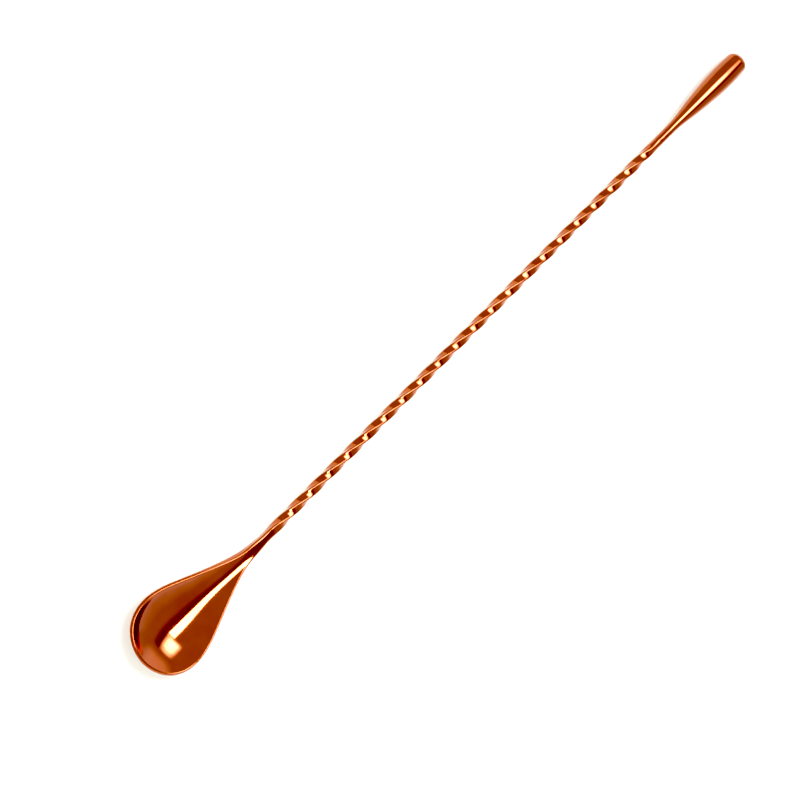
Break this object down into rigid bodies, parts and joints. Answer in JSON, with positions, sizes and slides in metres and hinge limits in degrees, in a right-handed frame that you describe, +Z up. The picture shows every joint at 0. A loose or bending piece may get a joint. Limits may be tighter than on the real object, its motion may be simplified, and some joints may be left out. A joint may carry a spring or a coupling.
{
  "type": "bar spoon",
  "caption": "Long bar spoon with a teardrop bowl, a twisted square shaft and a drop-shaped weight at its end; mirror-polished copper finish.",
  "frame": {"origin": "on the surface the spoon lies on, under the middle of its overall length and width", "axes": "+X along the spoon from the bowl's tip to the weight's blunt end, +Z up out of the bowl"},
  "size_m": [0.335, 0.0308, 0.0095],
  "materials": {
    "copper_plate": "polished",
    "braze_metal": "satin"
  },
  "bodies": {
    "root": {"bowl": "copper_plate", "twisted_shaft": "copper_plate", "drop_weight": "copper_plate", "neck_braze": "braze_metal", "weight_braze": "braze_metal"}
  },
  "joints": []
}
